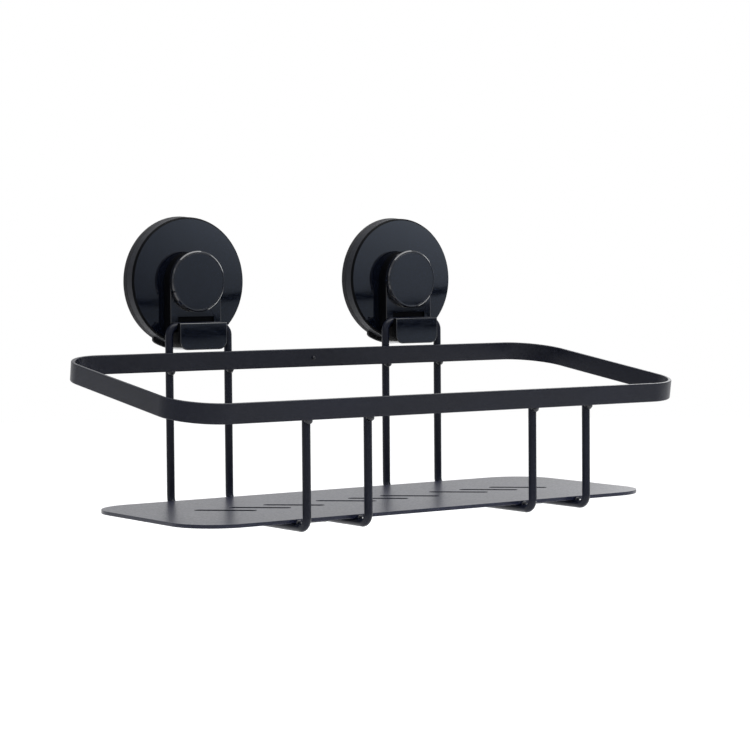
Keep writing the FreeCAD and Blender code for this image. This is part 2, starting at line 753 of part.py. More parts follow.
rim_bar = make_rim_bar()
shelf_plate = make_shelf_plate()
wire_frames = [make_wire_frame(side, middle_x) for side, middle_x in SIDES.items()]
crossbars = [make_crossbar(side, middle_x) for side, middle_x in SIDES.items()]
sub_parts = [rim_bar, shelf_plate] + wire_frames + crossbars
sub_parts.append(make_rim_welds(rim_bar, wire_frames))
sub_parts.append(make_shelf_welds(wire_frames))
sub_parts.append(make_rim_seam_weld(rim_bar))
for cup_side, cup_x in SIDES.items():
    sub_parts += make_suction_cup(cup_side, cup_x)
document.recompute()

for item in document.Objects:
    assert not {"Invalid", "Error"} & set(item.State), f"{item.Name} failed to build"

os.makedirs("parts", exist_ok=True)
for piece in sub_parts:
    piece.Label = piece.Name
    shape = piece.Shape
    assert not shape.isNull() and shape.isValid(), f"{piece.Label} is not a valid solid"
    shape.exportStep(f"parts/{piece.Label}.step")
    print(f"{piece.Label}: {len(shape.Solids)} solid, {shape.Volume:.1f} cubic mm")
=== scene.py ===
import math

import bmesh
import bpy
from mathutils import Matrix, Quaternion, Vector, noise


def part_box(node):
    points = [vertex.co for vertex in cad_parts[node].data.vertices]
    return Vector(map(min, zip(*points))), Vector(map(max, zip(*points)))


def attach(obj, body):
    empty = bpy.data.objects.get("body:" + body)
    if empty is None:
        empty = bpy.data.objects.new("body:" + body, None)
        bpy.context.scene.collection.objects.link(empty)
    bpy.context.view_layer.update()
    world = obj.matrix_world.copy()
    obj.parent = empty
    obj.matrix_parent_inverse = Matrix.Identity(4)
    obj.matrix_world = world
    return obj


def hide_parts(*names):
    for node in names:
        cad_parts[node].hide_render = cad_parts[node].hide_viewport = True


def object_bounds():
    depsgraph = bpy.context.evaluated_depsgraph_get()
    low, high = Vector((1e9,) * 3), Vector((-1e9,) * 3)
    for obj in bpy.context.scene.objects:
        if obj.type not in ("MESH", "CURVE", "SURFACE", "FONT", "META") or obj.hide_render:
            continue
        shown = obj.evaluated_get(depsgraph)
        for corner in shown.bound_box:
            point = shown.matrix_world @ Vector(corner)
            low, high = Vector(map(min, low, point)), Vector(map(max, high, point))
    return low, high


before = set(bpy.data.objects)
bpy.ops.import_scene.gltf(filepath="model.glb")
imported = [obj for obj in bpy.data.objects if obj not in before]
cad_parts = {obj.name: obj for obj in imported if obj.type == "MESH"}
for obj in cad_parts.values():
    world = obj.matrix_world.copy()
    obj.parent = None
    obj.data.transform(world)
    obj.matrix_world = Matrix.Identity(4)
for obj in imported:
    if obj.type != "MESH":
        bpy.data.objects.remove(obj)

# A wall-hung shower caddy, hanging clear of the floor. X runs to the right, Y into the wall and Z up.
# Lengths are in metres unless a comment says otherwise. Places come from the boxes of the CAD nodes.

MM = 0.001
CAD_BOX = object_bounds()

# how finely round shapes are cut
CIRCLE_STEPS = 96
FACE_STEPS = 160
DISC_STEPS = 128
NUT_STEPS = 72
STUD_STEPS = 48
EDGE_STEPS = 4
CORNER_STEPS = 24
WIRE_STEPS = 28
WIRE_BEND_STEPS = 14
# faces that meet at more than the first angle share a crisp edge, and on the hook, at more than the
# second, a rounded one
CRISP_ANGLE = math.radians(32)
ROUNDED_ANGLE = math.radians(50)
# a bevel's profile that makes it round
ROUND_BEVEL = 0.5
# places closer together than this are the same
SAME_PLACE = 0.01 * MM
# points of a mesh closer together than this are one point
SAME_POINT = 0.001 * MM

# the rim's flat bar
RIM_FALL = math.radians(8.3)
RIM_DEPTH = 127.0 * MM
RIM_CORNER = 24.0 * MM
BAR_HEIGHT = 9.5 * MM
BAR_THICKNESS = 1.9 * MM
BAR_EDGE_ROUND = 0.5 * MM
# the wires; whatever of a CAD wire is within the zone behind its front belongs to the front legs
WIRE_RADIUS = 2.0 * MM
TOP_BEND = 5.0 * MM
FOOT_BEND = 5.0 * MM
WIRE_END_ROUND = 0.7 * MM
FRONT_ZONE = 5.0 * MM
# the fillets at the crossbars' ends: (millimetres beyond the end, share by which the bar swells)
CROSSBAR_FILLET = [(0.5, 0.60), (0.0, 0.52), (-0.3, 0.34), (-0.8, 0.16), (-1.5, 0.05), (-2.4, 0.0)]

# the shelf
SHELF_CORNER = 24.0 * MM
SHELF_EDGE_ROUND = 0.2 * MM
SHELF_EDGE_STEPS = 3
SHELF_SAME_POINT = 0.002 * MM
SLOT_WIDTH = 5.0 * MM
SLOT_LENGTH = 30.5 * MM
SLOT_ANGLE = math.radians(42)
SLOT_PITCH = 19.5 * MM
SLOT_GROUP_PITCH = 70.0 * MM
SLOT_END_STEPS = 12
# a face of the shelf whose normal rises less than this is a wall
WALL_RISE = 0.9

# the weld beads: lumps a little smaller than their CAD solids, each with its own ripple, and put in
# order by their places, rounded to some digits
BEAD_FINENESS = 3
BEAD_SIZE = 0.82
BEAD_RIPPLE = 0.10
RIPPLE_SCALE = 1.7
RIPPLE_SHIFT = (3.1, 1.7, 0)
BEAD_PLACE_DIGITS = 5

# the cups' turned parts, in millimetres: (radius, depth, rounding); the wall is at depth 0 and the
# front is at negative depths
PAD_PROFILE = [(12.3, 0.0, 0.2), (33.2, 0.0, 0.25), (32.6, -2.6, 0.5), (28.0, -2.6, 0.3),
               (27.4, -2.0, 0.3), (12.3, -2.0, 0.2)]
PAD_CENTRE_PROFILE = [(3.05, 0.0, 0.05), (12.0, 0.0, 0.3), (12.0, -3.2, 0.4), (3.05, -3.2, 0.05)]
COVER_SIDE = [(32.6, -2.65, 0.15), (32.6, -7.9, 0.12), (32.3, -8.15, 0.05), (32.25, -8.5, 0.12),
              (31.8, -8.92, 0.25)]
COVER_INSIDE = [(3.35, -9.3, 0.1), (3.35, -6.9, 0.1), (29.8, -6.9, 0.3), (30.6, -6.1, 0.3),
                (30.6, -2.65, 0.15)]
KNOB_PROFILE = [(3.35, -11.3, 0.1), (7.6, -11.3, 0.3), (7.6, -15.7, 0.2), (15.4, -15.7, 0.35),
                (15.4, -18.1, 0.2), (14.8, -18.7, 0.2), (14.2, -18.7, 0.06), (14.2, -17.7, 0.05),
                (5.25, -17.7, 0.05), (5.25, -12.0, 0.05), (3.35, -12.0, 0.1)]
CAP_PROFILE = [(0.01, -17.72, 0.0), (14.12, -17.72, 0.1), (14.12, -18.69, 0.08), (0.01, -18.69, 0.0)]
# the domed face of the cover, in millimetres: it falls back by the rise from its middle to its edge
DOME_RADIUS = 32.0
DOME_RUN = 28.5
DOME_DEPTH = -9.3
DOME_RISE = 0.38
DOME_STEPS = 10
# the cover's grained band lies beyond the first radius, and its groove beyond the second
BAND_RADIUS = 32.4 * MM
GROOVE_RADIUS = 31.6 * MM
GROOVE_BACK = -7.9 * MM

# the pad's pull tab, in millimetres; shares are of its half width, and the grip ribs are crests of waves
TAB_HALF_WIDTH = 18.0
TAB_REACH = 35.0
TAB_ROOT = 31.0
TAB_BACK = -0.15
TAB_FRONT = -2.15
TAB_ROUND = 0.45
TAB_STEPS = 60
TAB_EDGE_STEPS = 3
TAB_CORNER = 1.6
TAB_CORNER_SHARE = 0.14
RIB_WAVES = 11
RIB_HEIGHT = 0.245
RIB_SHARE = 0.84

# the housing behind the knob: an arch with a round socket for the knob's hub
HOUSING_HALF_WIDTH = 14.9 * MM
HOUSING_LOW = -25.0 * MM
HOUSING_BACK = -9.35 * MM
HOUSING_FRONT = -15.4 * MM
HOUSING_ROUND = 0.6 * MM
HOUSING_BACK_EDGE = 0.15 * MM
HOUSING_SIDE_FRONT = -15.3 * MM
ARCH_STEPS = 40
ARCH_SIDE_STEPS = 12
STUD_HOLE = 3.35 * MM
SOCKET_MOUTH = 8.3 * MM
SOCKET_RADIUS = 8.1 * MM
SOCKET_EDGE = 0.2 * MM
SOCKET_FLOOR = -11.0 * MM
# the housing's sides face forward less than this, and the hook's sides face sideways more than this
SIDE_NORMAL = 0.5
HOOK_SIDE_NORMAL = 0.75
# the recess in the housing's front
RECESS_HALF_WIDTH = 10.5 * MM
RECESS_TOP = -17.7 * MM
RECESS_LOW = -24.95 * MM
RECESS_FLOOR = -14.4 * MM
RECESS_CUT = 1.4 * MM
RECESS_MARGIN = 0.2 * MM
# the hook
HOOK_HALF_WIDTH = 13.7 * MM
HOOK_BACK_GAP = 0.05 * MM
LIP_THICKNESS = 2.8 * MM
LIP_TOP = -20.8 * MM
HOOK_GROOVE = -25.0 * MM
# the hook's edges, each with a width and a number of segments
HOOK_CORNER = (4.5 * MM, 10)
LIP_EDGE = (0.5 * MM, 4)
HOOK_EDGE = (0.25 * MM, 3)

# the nut
NUT_CORNER = 5.2 * MM
NUT_TURNED_DOWN = 4.8 * MM
NUT_BACK = -12.05 * MM
NUT_FRONT = -16.95 * MM
NUT_CORNER_FALL = 0.35 * MM
NUT_BORE = 3.06 * MM
NUT_MOUTH = 3.3 * MM
NUT_MOUTH_DEPTH = 0.3 * MM
# the stud: a round plate, then the thread, with flanks steep enough to leave a flat crest, which
# narrows over the tip's length to a share of its size
PLATE_RADIUS = 8.0 * MM
PLATE_BACK = -1.05 * MM
PLATE_FRONT = -2.15 * MM
THREAD_START = -2.2 * MM
THREAD_END = -14.6 * MM
THREAD_ROWS = 150
THREAD_PITCH = 1.0 * MM
THREAD_CREST = 3.0 * MM
THREAD_ROOT = 2.5 * MM
THREAD_FLANK = 1.3
TIP_LENGTH = 0.8 * MM
TIP_SIZE = 0.82

# the floor
FLOOR_RADIUS = 4.0
FLOOR_DROP = 0.22
FLOOR_THICKNESS = 0.02
# the lights: (name, place, target, width, height, watts), with place and target from the part's middle
LIGHTS = [("overhead", (0.1, -0.1, 1.3), (0, 0, 0), 1.4, 1.4, 30),
          ("front_left", (-1.5, -1.4, 0.9), (0, 0, 0), 1.0, 1.0, 3),
          ("front_right", (0.6, -0.9, 1.0), (0.5, -0.8, -0.3), 0.8, 0.8, 10),
          ("back_right", (1.5, 1.0, 0.8), (0, 0, 0), 0.8, 1.2, 6)]
# the surround: a white sky and backdrop over a dimmer room, with soft edges between them
SKY_COLOUR = (1.0, 1.0, 1.0)
ROOM_COLOUR = (0.84, 0.85, 0.87)
BACKDROP_EDGE = (0.78, 0.94)
SKY_EDGE = (0.35, 0.75)
# a grey patch in front, which shows in the gloss
PATCH_FACING = (0.575, -0.818, 0)
PATCH_EDGE = (0.86, 0.96)
PATCH_TINT = (0.74, 0.84, 1.0)
# from low to high about the horizon: (share of the reach, shade); the dark line slopes a little
PATCH_SHADES = [(0.0, 0.44), (0.370, 0.42), (0.378, 0.0), (0.412, 0.0), (0.420, 0.50),
                (0.50, 0.56), (0.65, 0.74), (0.83, 1.0)]
PATCH_REACH = 0.1
PATCH_SLOPE = -0.058
# the patch grows brighter to the right, from the first strength to the second
PATCH_SIDES = (0.45, 0.64)
PATCH_STRENGTHS = (0.75, 1.9)
# the camera
CAMERA_PLACE = (-0.6556, -1.0083, 0.0055)
CAMERA_LENS = 109.2
CAMERA_SENSOR = 36.0
CAMERA_NEAR = 0.01
CAMERA_FAR = 100.0
CAMERA_ROLL = math.radians(-0.45)
VIEW_FORWARD = (0.5754, 0.8167, -0.0465)


# --- shapes ---------------------------------------------------------------------------------------

def rounded_path(corners, radius, steps, closed=False):
    """Points along a line through the corners, with each corner rounded to the radius."""
    count = len(corners)
    points = []
    for index, corner in enumerate(corners):
        corner = Vector(corner)
        is_end = not closed and index in (0, count - 1)
        corner_radius = radius[index] if isinstance(radius, list) else radius
        if is_end or corner_radius == 0:
            points.append(corner)
            continue
        back = (Vector(corners[index - 1]) - corner).normalized()
        ahead = (Vector(corners[(index + 1) % count]) - corner).normalized()
        half = back.angle(ahead) / 2
        centre = corner + (back + ahead).normalized() * corner_radius / math.sin(half)
        start = (corner + back * corner_radius / math.tan(half) - centre).normalized()
        end = (corner + ahead * corner_radius / math.tan(half) - centre).normalized()
        for step in range(steps + 1):
            points.append(centre + start.slerp(end, step / steps) * corner_radius)
    return points


def loft(loops, ring=False):
    """A mesh through loops that have equal counts of points: closed by flat caps, or into a ring."""
    shape = bmesh.new()
    rows = [[shape.verts.new(point) for point in loop] for loop in loops]
    pairs = list(zip(rows, rows[1:]))
    if ring:
        pairs.append((rows[-1], rows[0]))
    for first, second in pairs:
        for index in range(len(first)):
            ahead = (index + 1) % len(first)
            shape.faces.new((first[index], first[ahead], second[ahead], second[index]))
    if not ring:
        shape.faces.new(rows[0])
        shape.faces.new(rows[-1])
    bmesh.ops.recalc_face_normals(shape, faces=shape.faces)
    return shape


def prism(outline, run):
    """A flat outline drawn out along a vector."""
    return loft([[Vector(point) for point in outline], [Vector(point) + run for point in outline]])


def circle(radius, depth, steps):
    """A circle about the Y axis, at a depth along it."""
    return [Vector((radius * math.cos(math.tau * step / steps), depth,
                    radius * math.sin(math.tau * step / steps))) for step in range(steps)]


def turned(profile, steps=CIRCLE_STEPS, ring=True):
    """A profile turned about the Y axis; its points' x is the radius and their y is the depth."""
    return loft([circle(point.x, point.y, steps) for point in profile], ring)


def rounded_profile(corners):
    """A closed profile in metres, from corners of (radius, depth, rounding) in millimetres."""
    return rounded_path([Vector((radius, depth, 0)) * MM for radius, depth, _ in corners],
                        [rounding * MM for _, _, rounding in corners], EDGE_STEPS, closed=True)


def tube(path, radius, end_round):
    """A round wire along a path, with softened ends."""
    loops = []
    direction = (path[1] - path[0]).normalized()
    across = direction.orthogonal().normalized()
    last = len(path) - 1
    for index, point in enumerate(path):
        turned_to = (path[min(index + 1, last)] - path[max(index - 1, 0)]).normalized()
        across = direction.rotation_difference(turned_to) @ across
        direction = turned_to
        other = direction.cross(across)
        places = [(point, radius)]
        if index in (0, last):
            outward = -direction if index == 0 else direction
            places = []
            for step in range(EDGE_STEPS + 1):
                angle = math.pi / 2 * step / EDGE_STEPS
                drop = end_round * (1 - math.sin(angle))
                places.append((point - outward * drop, radius - end_round * (1 - math.cos(angle))))
            if index == 0:
                places.reverse()
        for centre, ring_radius in places:
            loops.append([centre + (across * math.cos(turn) + other * math.sin(turn)) * ring_radius
                          for turn in (math.tau * step / WIRE_STEPS for step in range(WIRE_STEPS))])
    return loft(loops)


def soften(shape, edges, width, segments):
    """Rounds the chosen edges of a mesh."""
    bmesh.ops.bevel(shape, geom=edges, offset=width, segments=segments, profile=ROUND_BEVEL,
                    affect="EDGES", clamp_overlap=True)


def sharp_edges(shape):
    return [edge for edge in shape.edges
            if len(edge.link_faces) == 2 and edge.calc_face_angle(0) > ROUNDED_ANGLE]


def extent(points):
    """The low and high corners of the box round some points."""
    low = Vector([min(point[axis] for point in points) for axis in range(3)])
    high = Vector([max(point[axis] for point in points) for axis in range(3)])
    return low, high


def smooth_by_angle(mesh):
    """Smooth shading everywhere but across sharp edges."""
    for polygon in mesh.polygons:
        polygon.use_smooth = True
    shape = bmesh.new()
    shape.from_mesh(mesh)
    for edge in shape.edges:
        edge.smooth = len(edge.link_faces) != 2 or edge.calc_face_angle(0) < CRISP_ANGLE
    shape.to_mesh(mesh)
    shape.free()


def as_object(name, shape, place=Vector()):
    """Makes an object from a bmesh, moved to its place."""
    bmesh.ops.translate(shape, vec=place, verts=shape.verts)
    mesh = bpy.data.meshes.new(name)
    shape.to_mesh(mesh)
    shape.free()
    smooth_by_angle(mesh)
    piece = bpy.data.objects.new(name, mesh)
    bpy.context.scene.collection.objects.link(piece)
    return piece


def combine(piece, tool, operation):
    """Joins another object to a piece, or cuts it out, and removes the tool."""
    modifier = piece.modifiers.new("combine", "BOOLEAN")
    modifier.operation = operation
    modifier.solver = "EXACT"
    modifier.object = tool
    graph = bpy.context.evaluated_depsgraph_get()
    mesh = bpy.data.meshes.new_from_object(piece.evaluated_get(graph))
    piece.modifiers.clear()
    old = piece.data
    piece.data = mesh
    mesh.name = piece.name
    bpy.data.meshes.remove(old)
    bpy.data.objects.remove(tool)
    smooth_by_angle(mesh)


def keep_piece(piece, body, slot, nodes, *materials):
    """Sets a finished piece on its body, in place of its CAD nodes."""
    piece.data.materials.clear()
    for material in materials:
        piece.data.materials.append(material)
    normals = piece.modifiers.new("normals", "WEIGHTED_NORMAL")
    normals.keep_sharp = True
    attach(piece, body)
    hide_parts(*nodes)


def middle(node):
    low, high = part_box(node)
    return (low + high) / 2


# --- materials ------------------------------------------------------------------------------------

# a noise texture gives nearly all its values between these two
NOISE_REACH = (0.3, 0.7)
NOISE_ROUGHNESS = 0.5
# a coat drifts from its shade to this many times it, and a plastic to this share of it
COAT_DRIFT = 1.7
PLASTIC_DRIFT = 0.6
# the part of the noise that makes the coat's flecks
FLECK_EDGE = (0.60, 0.74)
FLECK_SCALE = 5200
BLACK = (0.0, 0.0, 0.0)
WHITE = (1.0, 1.0, 1.0)


def colour_ramp(tree, source, stops):
    """Maps a grey value to colours, from stops of (position, colour)."""
    node = tree.nodes.new("ShaderNodeValToRGB")
    elements = node.color_ramp.elements
    while len(elements) < len(stops):
        elements.new(0.5)
    for element, (position, colour) in zip(elements, stops):
        element.position = position
        element.color = (*colour, 1)
    tree.links.new(source, node.inputs["Fac"])
    return node.outputs["Color"]


def mixed(tree, factor, first, second):
    """Mixes two colours, each a node's output or a plain colour, by a node's output."""
    node = tree.nodes.new("ShaderNodeMixRGB")
    for socket, value in zip(node.inputs, (factor, first, second)):
        if isinstance(value, tuple):
            socket.default_value = (*value, 1)
        else:
            tree.links.new(value, socket)
    return node.outputs["Color"]


def set_inputs(node, names, values):
    for name, value in zip(names, values):
        node.inputs[name].default_value = value


class Finish:
    """A material under construction: a shader, and the nodes that feed it."""

    def __init__(self, name):
        self.material = bpy.data.materials.new(name)
        self.material.use_nodes = True
        self.tree = self.material.node_tree
        self.shader = self.tree.nodes["Principled BSDF"]
        self.place = self.tree.nodes.new("ShaderNodeTexCoord").outputs["Object"]

    def set(self, **values):
        for name, value in values.items():
            self.shader.inputs[name.replace("_", " ")].default_value = value

    def noise(self, scale, detail, roughness=NOISE_ROUGHNESS, stretch=None):
        node = self.tree.nodes.new("ShaderNodeTexNoise")
        set_inputs(node, ("Scale", "Detail", "Roughness"), (scale, detail, roughness))
        self.tree.links.new(self.stretched(stretch), node.inputs["Vector"])
        return node.outputs["Fac"]

    def stretched(self, stretch):
        if stretch is None:
            return self.place
        node = self.tree.nodes.new("ShaderNodeMapping")
        node.inputs["Scale"].default_value = stretch
        self.tree.links.new(self.place, node.inputs["Vector"])
        return node.outputs["Vector"]

    def colour(self, source, dark, pale):
        """Colours the shader from dark to pale over the noise's reach."""
        self.tree.links.new(self.tones(source, dark, pale), self.shader.inputs["Base Color"])

    def tones(self, source, dark, pale):
        return colour_ramp(self.tree, source, list(zip(NOISE_REACH, (dark, pale))))

    def roughness(self, source, low, high):
        """Spreads the shader's roughness from low to high over the noise's reach."""
        node = self.tree.nodes.new("ShaderNodeMapRange")
        set_inputs(node, ("From Min", "From Max", "To Min", "To Max"), (*NOISE_REACH, low, high))
        self.tree.links.new(source, node.inputs["Value"])
        self.tree.links.new(node.outputs["Result"], self.shader.inputs["Roughness"])

    def bumps(self, *layers):
        """Relief from layers of (height source, depth in metres)."""
        normal = None
        for source, depth in layers:
            node = self.tree.nodes.new("ShaderNodeBump")
            node.inputs["Distance"].default_value = depth
            self.tree.links.new(source, node.inputs["Height"])
            if normal is not None:
                self.tree.links.new(normal, node.inputs["Normal"])
            normal = node.outputs["Normal"]
        self.tree.links.new(normal, self.shader.inputs["Normal"])


def powder_coat(name, shine, shade, fleck_and_sheen):
    """Charcoal powder coat: a fine orange-peel skin with pale flecks."""
    finish = Finish(name)
    tone = finish.tones(finish.noise(scale=14, detail=3), shade,
                        tuple(part * COAT_DRIFT for part in shade))
    flecks = colour_ramp(finish.tree, finish.noise(FLECK_SCALE, detail=1),
                         list(zip(FLECK_EDGE, (BLACK, WHITE))))
    finish.tree.links.new(mixed(finish.tree, flecks, tone, fleck_and_sheen), finish.shader.inputs["Base Color"])
    finish.roughness(finish.noise(scale=900, detail=3), low=0.28, high=0.36)
    finish.bumps((finish.noise(scale=1500, detail=2), 0.014 * MM),
                 (finish.noise(FLECK_SCALE, detail=1), 0.003 * MM))
    finish.set(Specular_IOR_Level=shine)
    return finish.material


def gloss_plastic():
    """Moulded black plastic with a polished face: faint waves and fine wipe marks."""
    finish = Finish("gloss_plastic")
    finish.colour(finish.noise(scale=40, detail=2), dark=(0.0010, 0.0016, 0.0036),
                  pale=(0.0022, 0.0030, 0.0060))
    wipes = finish.noise(scale=420, detail=4, roughness=0.7, stretch=(0.35, 1.0, 1.6))
    finish.roughness(wipes, low=0.02, high=0.06)
    finish.bumps((finish.noise(scale=60, detail=1), 0.01 * MM))
    finish.set(Specular_IOR_Level=0.5)
    return finish.material


def grained_plastic(name, shade, shine):
    """The same plastic with a spark-eroded grain, more or less dull; a much darker copy of it paints shade.
    """
    finish = Finish(name)
    finish.colour(finish.noise(scale=300, detail=3), dark=tuple(part * PLASTIC_DRIFT for part in shade),
                  pale=shade)
    finish.roughness(finish.noise(scale=1400, detail=3), low=0.42, high=0.60)
    finish.bumps((finish.noise(scale=2600, detail=2), 0.08 * MM))
    finish.set(Specular_IOR_Level=shine)
    return finish.material


def pad_rubber():
    """Soft black rubber: a dull skin, a little bloom and a fine grain."""
    finish = Finish("pad_rubber")
    finish.colour(finish.noise(scale=90, detail=4), dark=(0.0035, 0.0037, 0.0050),
                  pale=(0.0075, 0.0078, 0.0100))
    finish.roughness(finish.noise(scale=700, detail=3), low=0.50, high=0.68)
    finish.bumps((finish.noise(scale=2200, detail=2), 0.05 * MM))
    finish.set(Specular_IOR_Level=0.15, Sheen_Weight=0.03, Sheen_Roughness=0.5)
    return finish.material


def plated_steel():
    """Bright zinc plating with a slight straw tint and fine turning lines."""
    finish = Finish("plated_steel")
    finish.colour(finish.noise(scale=260, detail=3), dark=(0.58, 0.58, 0.60), pale=(0.68, 0.67, 0.63))
    lines = finish.noise(scale=500, detail=3, roughness=0.6, stretch=(1.0, 9.0, 1.0))
    finish.roughness(lines, low=0.20, high=0.36)
    finish.bumps((lines, 0.01 * MM))
    finish.set(Metallic=1.0)
    return finish.material


def weld_metal():
    """Powder coat over the weld beads: thinner on the ripples, so slightly glossier."""
    finish = Finish("coated_weld")
    finish.colour(finish.noise(scale=700, detail=3), dark=(0.0014, 0.0018, 0.0040),
                  pale=(0.0030, 0.0036, 0.0070))
    finish.roughness(finish.noise(scale=1300, detail=3), low=0.28, high=0.46)
    finish.bumps((finish.noise(scale=1100, detail=3), 0.08 * MM))
    finish.set(Specular_IOR_Level=0.30)
    return finish.material


def floor_paper():
    """Pale matt paper, lit a little from within like a light table."""
    finish = Finish("floor_paper")
    finish.colour(finish.noise(scale=3, detail=3), dark=(0.93, 0.93, 0.93), pale=(0.95, 0.95, 0.95))
    finish.roughness(finish.noise(scale=400, detail=2), low=0.85, high=0.95)
    finish.set(Specular_IOR_Level=0.2, Emission_Color=(*WHITE, 1.0), Emission_Strength=0.14)
    return finish.material


COAT = powder_coat("powder_coat", shine=0.13, shade=(0.0012, 0.0018, 0.0050),
                   fleck_and_sheen=(0.022, 0.024, 0.032))
# a brighter, bluer copy of the coat with paler flecks and more shine, which paints the sheen on the shelf's
# top
SHEEN_SHELF_COAT = powder_coat("shelf_coat_painted_sheen", shine=0.24, shade=(0.0012, 0.0018, 0.0070),
                         fleck_and_sheen=(0.045, 0.050, 0.092))
GLOSS = gloss_plastic()
SATIN = grained_plastic("satin_plastic", shade=(0.0065, 0.0075, 0.0115), shine=0.12)
# a much darker copy of the grained plastic: painted shade on the housing's and hook's sides, the recess
# floor and the cover's groove
SHADE_PLASTIC = grained_plastic("painted_shade_plastic", shade=(0.0012, 0.0014, 0.0020), shine=0.03)
RUBBER = pad_rubber()
STEEL = plated_steel()
WELD = weld_metal()


# --- the rim --------------------------------------------------------------------------------------

def rounded_rectangle(width, depth, radius, inset, height):
    """A flat loop with rounded corners, drawn in by an inset, at a height."""
    across = width / 2 - inset
    along = depth / 2 - inset
    corners = [(across, along, height), (-across, along, height),
               (-across, -along, height), (across, -along, height)]
    return rounded_path(corners, radius - inset, CORNER_STEPS, closed=True)


def make_rim():
    """Flat bar bent into a closed loop, which leans down to the front."""
    low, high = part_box("rim_bar")
    section = rounded_path([(0, 0, 0), (BAR_THICKNESS, 0, 0), (BAR_THICKNESS, -BAR_HEIGHT, 0),
                            (0, -BAR_HEIGHT, 0)], BAR_EDGE_ROUND, EDGE_STEPS, closed=True)
    loops = [rounded_rectangle(high.x - low.x, RIM_DEPTH, RIM_CORNER, inset, height)
             for inset, height, _ in section]
    shape = loft(loops, ring=True)
    bmesh.ops.rotate(shape, matrix=Matrix.Rotation(RIM_FALL, 3, "X"), verts=shape.verts)
    shape_low, shape_high = extent([vertex.co for vertex in shape.verts])
    bmesh.ops.translate(shape, vec=(low + high) / 2 - (shape_low + shape_high) / 2, verts=shape.verts)
    keep_piece(as_object("rim", shape), "basket", "powder_coat", ["rim_bar"], COAT)


# --- the wires ------------------------------------------------------------------------------------

def make_wire_frame(side):
    """One continuous wire: up from one front leg's foot, over the hook and back to the other."""
    low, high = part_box(f"{side}_wire_frame")
    left, right = low.x + WIRE_RADIUS, high.x - WIRE_RADIUS
    front, rear = low.y + WIRE_RADIUS, high.y - WIRE_RADIUS
    foot, top = low.z + WIRE_RADIUS, high.z - WIRE_RADIUS
    leg_top = front_leg_top()
    corners = [(left, front, leg_top), (left, front, foot), (left, rear, foot), (left, rear, top),
               (right, rear, top), (right, rear, foot), (right, front, foot), (right, front, leg_top)]
    radii = [0, FOOT_BEND, FOOT_BEND, TOP_BEND, TOP_BEND, FOOT_BEND, FOOT_BEND, 0]
    path = rounded_path(corners, radii, WIRE_BEND_STEPS)
    keep_piece(as_object(f"{side}_wire", tube(path, WIRE_RADIUS, WIRE_END_ROUND)),
               "basket", "powder_coat", [f"{side}_wire_frame"], COAT)


def front_leg_top():
    """The height of the front legs' tops, read from the CAD mesh."""
    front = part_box("left_wire_frame")[0].y + FRONT_ZONE
    return max(vertex.co.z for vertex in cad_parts["left_wire_frame"].data.vertices
               if vertex.co.y < front)


def make_crossbar(side):
    """The bar between the foot runs, swelling into a small weld fillet at each end."""
    low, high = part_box(f"{side}_crossbar")
    centre = (low + high) / 2
    radius, half = (high.z - low.z) / 2, (high.x - low.x) / 2
    rows = [(half + beyond * MM, swelling) for beyond, swelling in CROSSBAR_FILLET]
    rows = [(-reach, swelling) for reach, swelling in rows] + rows[::-1]
    loops = []
    for reach, swelling in rows:
        loops.append([centre + Vector((reach, radius * (1 + swelling) * math.cos(turn),
                                       radius * math.sin(turn)))
                      for turn in (math.tau * step / WIRE_STEPS for step in range(WIRE_STEPS))])
    keep_piece(as_object(f"{side}_foot_crossbar", loft(loops)),
               "basket", "powder_coat", [f"{side}_crossbar"], COAT)


# --- the shelf ------------------------------------------------------------------------------------

def slot_loop(place):
    """The outline of one slanting slot with round ends, at a place along the shelf."""
    along = Vector((math.cos(SLOT_ANGLE), -math.sin(SLOT_ANGLE), 0))
    across = Vector((along.y, -along.x, 0))
    reach, radius = (SLOT_LENGTH - SLOT_WIDTH) / 2, SLOT_WIDTH / 2
    loop = []
    for end in (1, -1):
        for step in range(SLOT_END_STEPS + 1):
            angle = math.pi * step / SLOT_END_STEPS - math.pi / 2
            loop.append(Vector((place, 0, 0)) + along * reach * end
                        + (along * math.cos(angle) + across * math.sin(angle)) * radius * end)
    return loop


def plate_with_holes(loops, thickness):
    """A plate inside the first loop, pierced by the others, with rounded edges."""
    curve = bpy.data.curves.new("shelf_outline", "CURVE")
    curve.dimensions = "2D"
    curve.fill_mode = "BOTH"
    curve.extrude = thickness / 2 - SHELF_EDGE_ROUND
    curve.bevel_depth = SHELF_EDGE_ROUND
    curve.bevel_resolution = SHELF_EDGE_STEPS
    curve.offset = -SHELF_EDGE_ROUND
    for loop in loops:
        spline = curve.splines.new("POLY")
        spline.points.add(len(loop) - 1)
        for point, corner in zip(spline.points, loop):
            point.co = (*corner, 1)
        spline.use_cyclic_u = True
    holder = bpy.data.objects.new("shelf_outline", curve)
    bpy.context.scene.collection.objects.link(holder)
    graph = bpy.context.evaluated_depsgraph_get()
    mesh = bpy.data.meshes.new_from_object(holder.evaluated_get(graph))
    bpy.data.objects.remove(holder)
    shape = bmesh.new()
    shape.from_mesh(mesh)
    bmesh.ops.remove_doubles(shape, verts=shape.verts, dist=SHELF_SAME_POINT)
    bmesh.ops.recalc_face_normals(shape, faces=shape.faces)
    return shape


